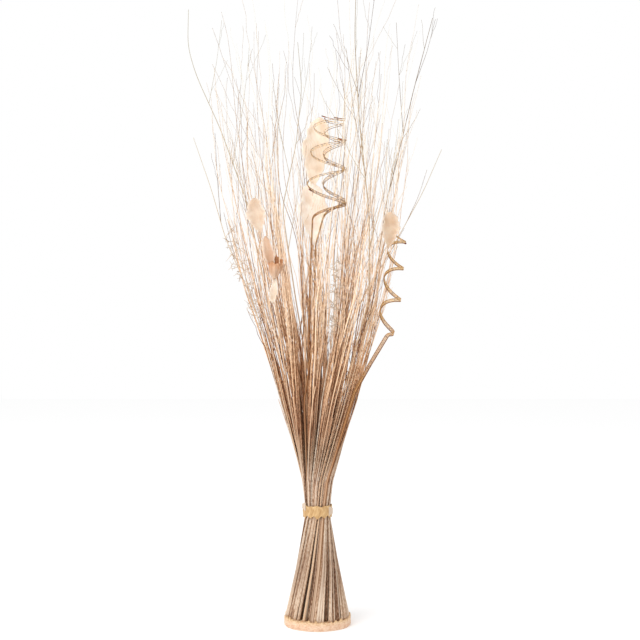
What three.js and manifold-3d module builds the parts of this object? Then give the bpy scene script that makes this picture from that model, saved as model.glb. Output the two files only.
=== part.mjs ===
// A bundle of dried twigs, twisted and flared, that stands on its glued foot.
// Millimetres, +Z up, the front is -Y.
import * as THREE from "three";
import Module from "manifold-3d";

const wasm = await Module();
wasm.setup();

// The bundle's shape from the foot to the tips: height, outer radius, how far the twigs have turned about the
// axis there (degrees, 0 at the waist) and the radius of one twig. Between two rows each twig runs straight.
const BUNDLE = [
  { z: 15.3, radius: 54.5, turn: -40, twig: 2.0 },
  { z: 100, radius: 37.8, turn: -26, twig: 1.75 },
  { z: 194, radius: 21.6, turn: 0, twig: 1.4 },
  { z: 248, radius: 28.4, turn: 10, twig: 1.4 },
  { z: 386, radius: 70.5, turn: 38, twig: 1.35 },
  { z: 556, radius: 126, turn: 50, twig: 1.15 },
  { z: 726, radius: 163, turn: 56, twig: 0.95 },
  { z: 906, radius: 200, turn: 59, twig: 0.75 },
  { z: 1093, radius: 228, turn: 61, twig: 0.55 },
];
const WAIST = BUNDLE[2];
const TOP = BUNDLE[BUNDLE.length - 1].z;
const GAP = 0.3; // clear space between two solids that touch on the real bundle

// The foot disc that the cut ends are glued to, and the palm-leaf strip round the waist.
const FOOT = { radius: 57.2, edge: 1.2, height: 15, sides: 40 };
const TIE = { bottom: 188, top: 206, inner: 23.4, thick: 1.2, fold: 0.5, points: 9, point: 5, notch: 2 };

// The bunches: how many lie in the middle, round it and outside, the twigs in each bunch from its inner row
// to its outer one, and where the tie holds them.
const BUNCH_RINGS = [1, 6, 12];
const MIDDLE_ROWS = [1, 7];
const TWIG_ROWS = [2, 3, 3];
const TWIGS_NUMBERED = 9;
const GRIP = { bottom: 190, top: 202, arc: 15, bulge: 0.5 };
const TWIG = { shortest: 480, tallest: 1085, lowest: 300, sway: 0.1, lean: 0.25, jitter: 0.16, apart: 1.5 };
const SHOOT = { lowest: 330, from: 0.5, to: 0.86, shortest: 110, longest: 250 };
const SHOOT_RADIUS = { share: 0.72, thinnest: 0.45 };
const PLACES_TRIED = 8;
const LENGTHS_TRIED = 40;
const CUT_BACK = 6; // how far below a meeting a twig ends

// Strides for even spreading: each is an irrational share, so no two twigs fall alike.
const STRIDE = { length: 0.6180339887, out: 0.7548776662, round: 0.5698402910, shoot: 0.3819660113 };

const COLOURS = {
  twig: 0xb59272,
  twigPale: 0xcdb091,
  cane: 0xb07d4c,
  tendril: 0xc29a72,
  leaf: 0xf0d6c2,
  husk: 0xb98a63,
  tie: 0xd9b77c,
  foot: 0xdcc2a4,
};

// Small helpers for numbers.
const lerp = THREE.MathUtils.lerp;
const radians = THREE.MathUtils.degToRad;
const share = (index, stride) => (0.5 + index * stride) % 1;
const vec = (x, y, z) => new THREE.Vector3(x, y, z);
const polar = (radius, degrees) =>
  new THREE.Vector2(radius * Math.cos(radians(degrees)), radius * Math.sin(radians(degrees)));

// The two rows of BUNDLE that a height lies between, and how far it lies from the first to the second.
function stretchAt(z) {
  let row = 1;
  while (row < BUNDLE.length - 1 && z > BUNDLE[row].z) row += 1;
  const below = BUNDLE[row - 1];
  const above = BUNDLE[row];
  return { below, above, t: (z - below.z) / (above.z - below.z) };
}

// How the bundle's section at a height follows from its section at the waist: a turn and a growth, as one
// complex number (x, y). Every twig keeps its own slot in the waist's section, so no two twigs meet.
function spreadAt(z) {
  const { below, above, t } = stretchAt(z);
  const last = polar(above.radius / WAIST.radius, above.turn);
  return polar(below.radius / WAIST.radius, below.turn).lerp(last, t);
}

const twigRadiusAt = (z) => {
  const { below, above, t } = stretchAt(z);
  return Math.max(BUNDLE[BUNDLE.length - 1].twig, lerp(below.twig, above.twig, t));
};

// The point that a slot of the waist's section has at a height.
function carry(slot, z) {
  const spread = spreadAt(z);
  return vec(spread.x * slot.x - spread.y * slot.y, spread.x * slot.y + spread.y * slot.x, z);
}

// Heights at which a twig from one height to another has a section: its ends and the rows between.
function heightsBetween(low, high) {
  const between = BUNDLE.map((row) => row.z).filter((z) => z > low + 8 && z < high - 8);
  return [low, ...between, high];
}

// A closed solid from rings of points that run anticlockwise seen from the far end. The caps are fans, or the
// triangles given for them.
function solidOfRings(rings, cap) {
  const count = rings[0].length;
  const positions = rings.flat().flatMap((p) => [p.x, p.y, p.z]);
  const faces = [];
  for (let ring = 0; ring < rings.length - 1; ring += 1) {
    for (let i = 0; i < count; i += 1) {
      const a = ring * count + i;
      const b = ring * count + ((i + 1) % count);
      faces.push(a, b, b + count, a, b + count, a + count);
    }
  }
  const fan = [...Array(count - 2).keys()].map((i) => [0, i + 1, i + 2]);
  const last = (rings.length - 1) * count;
  for (const [a, b, c] of cap ?? fan) {
    faces.push(a, c, b, last + a, last + b, last + c);
  }
  return solidOfFaces(positions, faces);
}

function solidOfFaces(positions, faces) {
  const mesh = new wasm.Mesh({
    numProp: 3,
    vertProperties: new Float32Array(positions),
    triVerts: new Uint32Array(faces),
  });
  return new wasm.Manifold(mesh);
}

// Joins solids pairwise, which keeps each join small.
function joined(solids) {
  let parts = solids;
  while (parts.length > 1) {
    const next = [];
    for (let i = 0; i < parts.length; i += 2) {
      next.push(i + 1 < parts.length ? parts[i].add(parts[i + 1]) : parts[i]);
    }
    parts = next;
  }
  return parts[0];
}

// A level ring of points round a centre.
function levelRing(centre, radius, sides, turn) {
  return [...Array(sides).keys()].map((i) => {
    const angle = turn + (2 * Math.PI * i) / sides;
    return vec(centre.x + radius * Math.cos(angle), centre.y + radius * Math.sin(angle), centre.z);
  });
}

// A three-sided twig with level sections along a path that rises all the way.
function twigSolid(path, radii, turn) {
  return solidOfRings(path.map((point, i) => levelRing(point, radii[i], 3, turn)));
}

// A stem with square-on sections along any path, turned as little as possible. Its foot is cut level.
function caneSolid(path, radii, sides) {
  const rings = [];
  let across = vec(1, 0, 0);
  path.forEach((point, i) => {
    const before = path[Math.max(i - 1, 0)];
    const after = path[Math.min(i + 1, path.length - 1)];
    const along = i === 0 ? vec(0, 0, 1) : after.clone().sub(before).normalize();
    across = across.clone().addScaledVector(along, -across.dot(along)).normalize();
    const up = along.clone().cross(across);
    const ring = [...Array(sides).keys()].map((side) => {
      const angle = (2 * Math.PI * side) / sides;
      return point
        .clone()
        .addScaledVector(across, radii[i] * Math.cos(angle))
        .addScaledVector(up, radii[i] * Math.sin(angle));
    });
    rings.push(ring);
  });
  return solidOfRings(rings);
}

const nodes = new THREE.Group();

function addNode(name, solid, colour, roughness) {
  const made = solid.getMesh();
  const geometry = new THREE.BufferGeometry();
  const points = new Float32Array(made.numVert * 3);
  for (let i = 0; i < made.numVert; i += 1) {
    points.set(made.vertProperties.subarray(i * made.numProp, i * made.numProp + 3), i * 3);
  }
  geometry.setAttribute("position", new THREE.BufferAttribute(points, 3));
  geometry.setIndex(new THREE.BufferAttribute(new Uint32Array(made.triVerts), 1));
  geometry.computeVertexNormals();
  const material = new THREE.MeshStandardMaterial({ color: colour, roughness, metalness: 0 });
  const mesh = new THREE.Mesh(geometry, material);
  mesh.name = name;
  nodes.add(mesh);
}

// What stands among the bunches and must stay clear of them: paths with a radius for each point.
const clearances = [];
const keepClear = (path, radii) => clearances.push({ path, radii });

// Where two straight stretches come nearest: how far apart they are and at what height on the first.
function nearestApproach(a, b, c, d) {
  const ab = b.clone().sub(a);
  const cd = d.clone().sub(c);
  const ca = a.clone().sub(c);
  const abab = ab.dot(ab);
  const cdcd = cd.dot(cd);
  const abcd = ab.dot(cd);
  const abca = ab.dot(ca);
  const cdca = cd.dot(ca);
  const clamp = (value) => THREE.MathUtils.clamp(value, 0, 1);
  const spread = abab * cdcd - abcd * abcd;
  let s = spread > 1e-9 ? clamp((abcd * cdca - abca * cdcd) / spread) : 0;
  const t = clamp((abcd * s + cdca) / cdcd);
  s = clamp((abcd * t - abca) / abab);
  const onFirst = a.clone().addScaledVector(ab, s);
  return { apart: onFirst.distanceTo(c.clone().addScaledVector(cd, t)), height: onFirst.z };
}

// The lowest height at which a path comes too near to something it must stay clear of.
function firstMeeting({ path, radii }) {
  let lowest = Infinity;
  for (let i = 0; i < path.length - 1; i += 1) {
    const [a, b] = [path[i], path[i + 1]];
    const reach = Math.max(radii[i], radii[i + 1]) + 1.3 * GAP;
    for (const other of clearances) {
      for (let j = 0; j < other.path.length - 1; j += 1) {
        const [c, d] = [other.path[j], other.path[j + 1]];
        const near = reach + Math.max(other.radii[j], other.radii[j + 1]);
        if (Math.min(c.z, d.z) > b.z + near || Math.max(c.z, d.z) < a.z - near) continue;
        const { apart, height } = nearestApproach(a, b, c, d);
        if (apart < near) lowest = Math.min(lowest, Math.max(a.z, height - near));
      }
    }
  }
  return lowest;
}

// Pieces that stand singly, each in its own slot of the waist: radius and bearing there, and the stem's radii
// at the foot, the waist and the tip.
const STANDING = {
  coiled_cane_inner: { slot: polar(13.1, -150), stem: [2.0, 1.7, 1.0] },
  coiled_cane_outer: { slot: polar(17.7, -150), stem: [2.0, 1.7, 1.0] },
  coiled_cane_right: { slot: polar(19.5, -60), stem: [2.0, 1.7, 1.0] },
  tendril_left: { slot: polar(19.6, 150), stem: [1.7, 1.4, 0.7] },
  tendril_front: { slot: polar(18.4, -121), stem: [1.7, 1.4, 0.7] },
  papery_leaf_centre: { slot: polar(6.6, 180), stem: [1.8, 1.4, 0.8] },
  papery_leaf_left: { slot: polar(19.4, 165), stem: [1.8, 1.4, 0.8] },
  papery_leaf_right: { slot: polar(19.1, -79), stem: [1.8, 1.4, 0.8] },
  curled_husk: { slot: polar(18.6, -180), stem: [1.8, 1.4, 0.9] },
  tall_twig_left: { slot: polar(19.6, 91), stem: [2.1, 1.6, 0.6] },
  tall_twig_far_left: { slot: polar(19.6, 121), stem: [2.1, 1.6, 0.6] },
  tall_twig_right: { slot: polar(17.6, -31), stem: [2.1, 1.6, 0.6] },
  tall_twig_far_right: { slot: polar(19.6, -2), stem: [2.1, 1.6, 0.6] },
  tall_twig_front: { slot: polar(19.6, -91), stem: [2.1, 1.6, 0.6] },
  tall_twig_back: { slot: polar(19.6, 60), stem: [2.1, 1.6, 0.6] },
};

// A standing stem: straight up its slot to a height, then through further points, thinning all the way.
function standingStem(name, slotTop, further = []) {
  const { slot, stem } = STANDING[name];
  const lower = heightsBetween(BUNDLE[0].z, slotTop).map((z) => carry(slot, z));
  const path = [...lower, ...further];
  const end = path[path.length - 1].z;
  const radii = path.map(({ z }) =>
    z < WAIST.z
      ? THREE.MathUtils.mapLinear(z, BUNDLE[0].z, WAIST.z, stem[0], stem[1])
      : THREE.MathUtils.mapLinear(z, WAIST.z, end, stem[1], stem[2]),
  );
  return { path, radii };
}

// A coil: a circle carried up a leaning line. Its radius opens out from a share of itself over the first part
// turn and changes evenly after that, and its turns draw closer towards the top.
function coil({ from, to, radius, turns, bearing, opened, opening, tighten }) {
  const axis = to.clone().sub(from).normalize();
  const right = vec(1, 0, 0).addScaledVector(axis, -axis.x).normalize();
  const back = axis.clone().cross(right);
  const count = Math.round(turns * COIL_STEPS);
  return [...Array(count).keys()].map((i) => {
    const t = (i + 1) / count;
    const rise = 1 - (1 - t) ** tighten;
    const open = lerp(opened, 1, THREE.MathUtils.smoothstep(t * turns, 0, opening));
    const size = lerp(radius[0], radius[1], t) * open;
    const angle = radians(bearing) + 2 * Math.PI * turns * t;
    return from
      .clone()
      .lerp(to, rise)
      .addScaledVector(right, size * Math.cos(angle))
      .addScaledVector(back, size * Math.sin(angle));
  });
}

// The two canes that wind round each other high in the middle, and the corkscrew cane on the right.
const CANE_SIDES = 4;
const COIL_STEPS = 11; // points in one turn
const COILS = {
  coiled_cane_inner: {
    slotTop: 640,
    bend: [],
    coil: { from: vec(12.5, -92, 687), to: vec(22, -97, 864), radius: [35, 21], turns: 4.2, bearing: 200 },
    ease: { opened: 1, opening: 1, tighten: 1.5 },
    tail: [],
  },
  coiled_cane_outer: {
    slotTop: 386,
    bend: [vec(-6, -80, 500), vec(-3, -98, 645)],
    coil: { from: vec(27, -93, 691), to: vec(27, -98, 852), radius: [18.5, 15], turns: 4, bearing: 200 },
    ease: { opened: 1, opening: 1, tighten: 1.5 },
    tail: [],
  },
  coiled_cane_right: {
    slotTop: 400,
    bend: [vec(90, -24, 448)],
    coil: { from: vec(118, -25, 488), to: vec(138, -27, 680), radius: [17.5, 14], turns: 4, bearing: -90 },
    ease: { opened: 0, opening: 0.5, tighten: 1.3 },
    tail: [vec(126, -37, 699)],
  },
};
for (const [name, { slotTop, bend, coil: shape, ease, tail }] of Object.entries(COILS)) {
  const { path, radii } = standingStem(name, slotTop, [...bend, ...coil({ ...shape, ...ease }), ...tail]);
  keepClear(path, radii);
  addNode(name, caneSolid(path, radii, CANE_SIDES), COLOURS.cane, 0.6);
}

// The two rods with a fine tendril wound round them. The tendril leaves the rod low down and joins it again
// high up.
const TENDRILS = {
  tendril_left: { bottom: 505, top: 668, radius: 12.5, turns: 10.5, steps: 7, lean: vec(-150, -64, 690) },
  tendril_front: { bottom: 490, top: 622, radius: 8.5, turns: 9.5, steps: 6, lean: vec(33, -112, 640) },
};
const TENDRIL_RADIUS = 0.75;
for (const [name, { bottom, top, radius, turns, steps, lean }] of Object.entries(TENDRILS)) {
  const rod = standingStem(name, bottom, [lean]);
  const foot = rod.path[rod.path.length - 2];
  const alongRod = (z) => foot.clone().lerp(lean, (z - foot.z) / (lean.z - foot.z));
  const count = Math.round(turns * steps);
  const winding = [...Array(count + 1).keys()].map((i) => {
    const t = i / count;
    const centre = alongRod(lerp(bottom + 4, top, t));
    const open = THREE.MathUtils.smoothstep(t, 0, 0.12) * THREE.MathUtils.smoothstep(1 - t, 0, 0.06);
    const out = polar(radius * open, 360 * turns * t);
    return vec(centre.x + out.x, centre.y + out.y, centre.z);
  });
  const thin = winding.map(() => TENDRIL_RADIUS);
  keepClear(rod.path, rod.radii);
  keepClear([alongRod(bottom), alongRod(top)], [radius + 1, radius + 1]);
  const solid = joined([caneSolid(rod.path, rod.radii, CANE_SIDES), caneSolid(winding, thin, 3)]);
  addNode(name, solid, COLOURS.tendril, 0.7);
}

// A papery blade: a midrib line from root to tip, a width that swells and narrows along it, a section that
// cups and waves. Both faces are split into triangles alike, and the sheet has the same thickness all over.
const BLADE_THICK = 0.9;
function bladeSolid({ root, tip, width, cup, wave, face }, rows = 7, columns = 4) {
  const along = tip.clone().sub(root);
  const across = along.clone().normalize().cross(face).normalize();
  const outward = across.clone().cross(along.clone().normalize()).normalize();
  const front = [];
  const back = [];
  for (let row = 0; row <= rows; row += 1) {
    const s = row / rows;
    const half = (width / 2) * Math.max(0.1, Math.sin(Math.PI * s ** 0.8) ** 0.7);
    for (let column = 0; column <= columns; column += 1) {
      const t = (2 * column) / columns - 1;
      const lift = cup * t * t * Math.sin(Math.PI * s) + wave * Math.sin(7 * s + 2.5 * t) * s;
      const point = root.clone().addScaledVector(along, s).addScaledVector(across, half * t);
      front.push(point.clone().addScaledVector(outward, lift + BLADE_THICK / 2));
      back.push(point.clone().addScaledVector(outward, lift - BLADE_THICK / 2));
    }
  }
  const faces = [];
  const other = front.length;
  const at = (row, column) => row * (columns + 1) + column;
  for (let row = 0; row < rows; row += 1) {
    for (let column = 0; column < columns; column += 1) {
      const [a, b] = [at(row, column), at(row, column + 1)];
      const [d, c] = [at(row + 1, column), at(row + 1, column + 1)];
      faces.push(a, b, c, a, c, d);
      faces.push(other + a, other + c, other + b, other + a, other + d, other + c);
    }
  }
  const rim = [
    ...[...Array(columns).keys()].map((i) => at(0, i)),
    ...[...Array(rows).keys()].map((i) => at(i, columns)),
    ...[...Array(columns).keys()].map((i) => at(rows, columns - i)),
    ...[...Array(rows).keys()].map((i) => at(rows - i, 0)),
  ];
  rim.forEach((a, i) => {
    const b = rim[(i + 1) % rim.length];
    faces.push(b, a, other + a, b, other + a, other + b);
  });
  const solid = solidOfFaces([...front, ...back].flatMap((p) => [p.x, p.y, p.z]), faces);
  if (solid.volume() > 0) return solid;
  return solidOfFaces([...back, ...front].flatMap((p) => [p.x, p.y, p.z]), faces);
}

// A blade keeps the bunches out of a round space about its midrib, a little wider than itself.
function clearBlade({ root, tip, width }) {
  keepClear([root, tip], [width * 0.53, width * 0.53]);
}

// The papery leaves: how high the stalk follows its slot before it reaches the root of a blade, and the
// blades that it carries, from the lowest up: where each starts and ends, its width, how it cups and waves,
// and where it faces. The stalk passes behind a lower blade on its way to the next.
const blade = (root, tip, width, cup, wave, face) => ({ root, tip, width, cup, wave, face });
const BEHIND = vec(0, 9, 0);
const LEAVES = {
  papery_leaf_centre: {
    slotTop: 556,
    blades: [
      blade(vec(-6, -47, 648), vec(-10, -46, 752), 46, 7, 3, vec(0.2, -1, 0)),
      blade(vec(-8, -46, 738), vec(4, -52, 862), 45, 6, 4, vec(-0.1, -1, 0)),
    ],
  },
  papery_leaf_left: {
    slotTop: 620,
    blades: [blade(vec(-93, -92, 664), vec(-106, -99, 731), 31, 6, 3, vec(-0.3, -1, 0))],
  },
  papery_leaf_right: {
    slotTop: 600,
    blades: [blade(vec(117, -56, 640), vec(128, -61, 702), 29, 6, 3, vec(0.3, -1, 0))],
  },
};
for (const [name, { slotTop, blades }] of Object.entries(LEAVES)) {
  const behind = ({ root, tip }) => root.clone().lerp(tip, 0.5).add(BEHIND);
  const topBlade = blades.at(-1);
  const seats = blades.slice(0, -1).flatMap((blade) => [blade.root, behind(blade)]);
  const end = topBlade.root.clone().lerp(topBlade.tip, 0.08);
  const { path, radii } = standingStem(name, slotTop, [...seats, topBlade.root, end]);
  keepClear(path, radii);
  blades.forEach(clearBlade);
  const solid = joined([caneSolid(path, radii, CANE_SIDES), ...blades.map((one) => bladeSolid(one))]);
  addNode(name, solid, COLOURS.leaf, 0.85);
}

// The brown husk: a rolled sheet that opens like a bell with a ragged rim, on a stalk that runs up inside it,
// with a narrow bract beside it and a cream blade below.
const HUSK = { bottom: 590, top: 622, throat: 2.2, mouth: 11, thick: 1.2, sides: 10, rows: 3 };
{
  const name = "curled_husk";
  const { path, radii } = standingStem(name, HUSK.bottom - 30, [vec(-71, -95, HUSK.bottom + 6)]);
  const seat = path[path.length - 1];
  const ringAt = (s, inset) =>
    [...Array(HUSK.sides).keys()].map((i) => {
      const angle = (2 * Math.PI * i) / HUSK.sides;
      const ragged = 1 + 0.16 * Math.sin(2 * angle + 1) + 0.1 * Math.sin(5 * angle);
      const bell = lerp(HUSK.throat, HUSK.mouth, Math.sin((Math.PI / 2) * s) ** 0.8);
      const radius = bell * (1 - 0.12 * s * s) - inset;
      const z = HUSK.bottom + (HUSK.top - HUSK.bottom) * s * ragged;
      return vec(seat.x + radius * Math.cos(angle), seat.y + radius * Math.sin(angle), z);
    });
  const outer = [...Array(HUSK.rows + 1).keys()].map((i) => ringAt(i / HUSK.rows, 0));
  const inner = [...Array(HUSK.rows).keys()].map((i) => ringAt(1 - i / HUSK.rows, HUSK.thick));
  const rolled = solidOfRings([...outer, ...inner]);
  const blades = [
    blade(seat.clone().add(vec(0, 2, -6)), vec(-84, -88, 668), 13, 3, 2, vec(0, -1, 0)),
    blade(vec(-69, -93, 592), vec(-74, -99, 550), 13, 2, 1, vec(0, -1, 0)),
  ];
  const room = [HUSK.mouth + 2, HUSK.mouth + 2];
  keepClear(path, radii);
  keepClear([seat.clone().setZ(HUSK.bottom), seat.clone().setZ(HUSK.top + 8)], room);
  blades.forEach(clearBlade);
  const narrow = blades.map((one) => bladeSolid(one, 5, 2));
  addNode(name, joined([caneSolid(path, radii, CANE_SIDES), rolled, ...narrow]), COLOURS.husk, 0.8);
}

// The point of a rising path at a height.
function pointOn(path, z) {
  const index = path.findIndex((point) => point.z >= z);
  const t = (z - path[index - 1].z) / (path[index].z - path[index - 1].z);
  return path[index - 1].clone().lerp(path[index], t);
}

// Side shoots of a stem: each leaves it at its own height and leans away on its own side.
function sideShoots(path, radii, shoots) {
  return shoots.map(({ at, reach, rise }) => {
    const root = pointOn(path, at);
    const index = path.findIndex((point) => point.z >= at);
    const radius = radii[index] * SHOOT_RADIUS.share;
    const middle = root.clone().addScaledVector(reach, SHOOT_BEND.out).add(vec(0, 0, rise * SHOOT_BEND.up));
    const tip = root.clone().add(reach).add(vec(0, 0, rise));
    return { path: [root, middle, tip], radii: [radius, Math.max(radius * 0.85, SHOOT_TIP), SHOOT_TIP] };
  });
}

// The twigs that stand out of the spray at the sides, in front and behind, with their side shoots: how high
// each follows its slot, the points it bends through, and where each shoot leaves it, how far it goes and how
// high.
const TALL_TWIGS = {
  tall_twig_left: {
    slotTop: 726,
    bend: [vec(-172, 66, 860), vec(-215, 58, 955), vec(-229, 52, 1004), vec(-227, 48, 1068)],
    shoots: [
      { at: 640, reach: vec(-34, -14, 0), rise: 170 },
      { at: 800, reach: vec(30, -18, 0), rise: 190 },
      { at: 905, reach: vec(22, 10, 0), rise: 150 },
    ],
  },
  tall_twig_far_left: {
    slotTop: 556,
    bend: [vec(-158, 6, 660), vec(-182, 0, 745), vec(-213, -4, 835)],
    shoots: [
      { at: 590, reach: vec(-36, 18, 0), rise: 120 },
      { at: 690, reach: vec(-8, -26, 0), rise: 150 },
    ],
  },
  tall_twig_right: {
    slotTop: 726,
    bend: [vec(143, 55, 815), vec(170, 56, 930), vec(203, 56, 1055)],
    shoots: [
      { at: 700, reach: vec(28, 22, 0), rise: 180 },
      { at: 850, reach: vec(-14, -28, 0), rise: 190 },
      { at: 940, reach: vec(34, -12, 0), rise: 110 },
    ],
  },
  tall_twig_far_right: {
    slotTop: 556,
    bend: [vec(128, 100, 640), vec(190, 104, 752), vec(224, 106, 830)],
    shoots: [
      { at: 600, reach: vec(30, 26, 0), rise: 170 },
      { at: 700, reach: vec(34, -22, 0), rise: 90 },
    ],
  },
  tall_twig_front: {
    slotTop: 556,
    bend: [vec(84, -128, 690), vec(66, -172, 840), vec(58, -206, 960), vec(60, -221, 1040)],
    shoots: [
      { at: 640, reach: vec(36, -24, 0), rise: 160 },
      { at: 760, reach: vec(-30, -26, 0), rise: 190 },
      { at: 870, reach: vec(26, -18, 0), rise: 160 },
    ],
  },
  tall_twig_back: {
    slotTop: 726,
    bend: [vec(-40, 176, 850), vec(-30, 206, 960), vec(-38, 222, 1050)],
    shoots: [
      { at: 650, reach: vec(24, 30, 0), rise: 180 },
      { at: 790, reach: vec(-32, 22, 0), rise: 180 },
      { at: 900, reach: vec(24, 16, 0), rise: 150 },
    ],
  },
};
const SHOOT_BEND = { out: 0.6, up: 0.5 }; // how far a shoot has gone at its middle point
const SHOOT_TIP = 0.48;
for (const [name, { slotTop, bend, shoots }] of Object.entries(TALL_TWIGS)) {
  const main = standingStem(name, slotTop, bend);
  const lines = [main, ...sideShoots(main.path, main.radii, shoots)];
  lines.forEach(({ path, radii }) => keepClear(path, radii));
  const solids = lines.map(({ path, radii }) => twigSolid(path, radii, 0.4));
  addNode(name, joined(solids), COLOURS.twigPale, 0.8);
}

// The cells of the waist's section, equal in area: one round cell in the middle, then sectors in two rings.
const CELLS = [];
const cellCount = BUNCH_RINGS.reduce((sum, count) => sum + count, 0);
let filled = 0;
for (const count of BUNCH_RINGS) {
  const inner = WAIST.radius * Math.sqrt(filled / cellCount);
  filled += count;
  const outer = WAIST.radius * Math.sqrt(filled / cellCount);
  for (let i = 0; i < count; i += 1) {
    CELLS.push({ inner, outer, start: (360 / count) * i, sweep: 360 / count });
  }
}

// A place inside a cell, from shares of the way out and round, kept a margin away from the cell's edges.
function slotIn(cell, out, round, margin) {
  const low = cell.inner > 0 ? cell.inner + margin : 0;
  const radius = Math.sqrt(lerp(low ** 2, (cell.outer - margin) ** 2, out));
  const side = cell.inner > 0 ? THREE.MathUtils.radToDeg(margin / radius) : 0;
  return polar(radius, lerp(cell.start + side, cell.start + cell.sweep - side, round));
}

// A line inside a cell: from one pair of shares at its lowest point to another at its highest, with a slow
// sway above the waist.
function lineIn(cell, low, high, start, end, ends, phase) {
  const path = [];
  const radii = [];
  const heights = heightsBetween(low, high);
  const hold = (value) => THREE.MathUtils.clamp(value, 0, 1);
  for (const z of heights) {
    const t = (z - low) / (high - low);
    const radius = twigRadiusAt(z) * lerp(ends[0], ends[1], t);
    const margin = (radius + GAP * 0.8) / spreadAt(z).length();
    const sway = z > BUNDLE[3].z ? TWIG.sway : 0;
    const out = hold(lerp(start.x, end.x, t) + sway * Math.sin(z / 70 + phase));
    const round = hold(lerp(start.y, end.y, t) + sway * Math.cos(z / 83 + 2 * phase));
    path.push(carry(slotIn(cell, out, round, margin), z));
    radii.push(radius);
  }
  return { path, radii };
}

// Where the tie grips a bunch, its twigs are one block: the cell's own outline, a hair inside its edges, and
// pressed out against the tie where it is an outer one.
function gripSolid(cell) {
  const steps = cell.sweep / GRIP.arc;
  const inset = GAP * 0.85;
  const outline = [];
  const cap = [];
  if (cell.inner > 0) {
    const side = (radius) => THREE.MathUtils.radToDeg(inset / radius);
    const point = (radius, i) =>
      polar(radius, lerp(cell.start + side(radius), cell.start + cell.sweep - side(radius), i / steps));
    const outermost = cell.outer > WAIST.radius - inset;
    const outer = outermost ? cell.outer + GRIP.bulge : cell.outer - inset;
    for (let i = 0; i <= steps; i += 1) outline.push(point(outer, i));
    for (let i = steps; i >= 0; i -= 1) outline.push(point(cell.inner + inset, i));
    for (let i = 0; i < steps; i += 1) {
      const across = outline.length - 1 - i;
      cap.push([i, i + 1, across - 1], [i, across - 1, across]);
    }
  } else {
    for (let i = 0; i < steps; i += 1) outline.push(polar(cell.outer - inset, GRIP.arc * i));
    for (let i = 0; i < steps - 2; i += 1) cap.push([0, i + 1, i + 2]);
  }
  const levels = [GRIP.bottom, WAIST.z, GRIP.top];
  return solidOfRings(levels.map((z) => outline.map((slot) => carry(slot, z))), cap);
}

// A passage through the block for a piece that stands in its own slot, open to the outside where it is near.
function passageSolid(slot, radius) {
  const half = radius + 1.2 * GAP;
  const along = slot.clone().normalize();
  const aside = new THREE.Vector2(-along.y, along.x);
  const far = slot.length() > WAIST.radius * 0.6 ? WAIST.radius + 4 - slot.length() : half;
  const corner = (a, b) => slot.clone().addScaledVector(along, a).addScaledVector(aside, b);
  const outline = [corner(-half, -half), corner(far, -half), corner(far, half), corner(-half, half)];
  const levels = [GRIP.bottom - 2, WAIST.z, GRIP.top + 2];
  return solidOfRings(levels.map((z) => outline.map((point) => carry(point, z))));
}

// A twig from the foot to a height, with its leans. It ends below anything that it would run into.
function clearTwig(cell, start, end, wanted, phase) {
  const foot = BUNDLE[0].z;
  let height = wanted;
  for (let attempt = 0; attempt < LENGTHS_TRIED; attempt += 1) {
    const stop = start.clone().lerp(end, (height - foot) / (wanted - foot));
    const line = lineIn(cell, foot, height, start, stop, [1, 1], phase);
    const meeting = firstMeeting(line);
    if (meeting === Infinity) return { ...line, stop, height };
    height = Math.min(height, meeting) - CUT_BACK;
    if (height < TWIG.lowest) return null;
  }
  return null;
}

// The bunches. Each twig keeps its slot from foot to tip and bears a side shoot that stays inside the bunch.
CELLS.forEach((cell, bunch) => {
  const solids = [];
  const held = [];
  const rows = cell.inner > 0 ? TWIG_ROWS : MIDDLE_ROWS;
  rows.forEach((count, row) => {
    for (let i = 0; i < count; i += 1) {
      const index = bunch * TWIGS_NUMBERED + row * TWIG_ROWS[1] + i;
      const jitter = (share(index, STRIDE.shoot) - 0.5) * TWIG.jitter;
      const start = new THREE.Vector2((row + 0.5) / rows.length + jitter, (i + 0.5 + jitter) / count);
      if (cell.inner === 0) start.x = row * 0.86;
      const lean = new THREE.Vector2(share(index, STRIDE.out), share(index, STRIDE.round));
      const wanted = lerp(TWIG.shortest, TWIG.tallest, share(index, STRIDE.length) ** 1.2);
      let line = null;
      for (let attempt = 0; attempt < PLACES_TRIED && !line; attempt += 1) {
        start.y = (start.y + attempt * STRIDE.shoot) % 1;
        const found = clearTwig(cell, start, start.clone().lerp(lean, TWIG.lean), wanted, bunch);
        const grip = found?.path.find((point) => point.z === WAIST.z);
        if (grip && held.every((other) => other.distanceTo(grip) > TWIG.apart)) {
          line = found;
          held.push(grip);
        }
      }
      if (!line) continue;
      solids.push(twigSolid(line.path, line.radii, index));
      const root = lerp(SHOOT.from, SHOOT.to, share(index, STRIDE.round)) * line.height;
      const rise = lerp(SHOOT.shortest, SHOOT.longest, share(index, STRIDE.shoot));
      if (root < SHOOT.lowest) continue;
      const from = start.clone().lerp(line.stop, root / line.height);
      const to = new THREE.Vector2(share(index, STRIDE.round), share(index, STRIDE.length));
      const thin = [SHOOT_RADIUS.share, SHOOT_RADIUS.share * 0.8];
      const branch = lineIn(cell, root, Math.min(root + rise, TOP), from, to, thin, bunch);
      branch.path[0] = pointOn(line.path, root);
      if (firstMeeting(branch) < Infinity) continue;
      const stout = branch.radii.map((radius) => Math.max(radius, SHOOT_RADIUS.thinnest));
      solids.push(twigSolid(branch.path, stout, index));
    }
  });
  const passages = Object.values(STANDING).map(({ slot, stem }) => passageSolid(slot, stem[1]));
  const grip = passages.reduce((block, passage) => block.subtract(passage), gripSolid(cell));
  const bodies = joined([grip, ...solids]).decompose();
  bodies.sort((a, b) => b.volume() - a.volume());
  const name = "twig_bunch_" + String(bunch + 1).padStart(2, "0");
  addNode(name, bodies[0], bunch % 3 ? COLOURS.twig : COLOURS.twigPale, 0.8);
});

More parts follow.
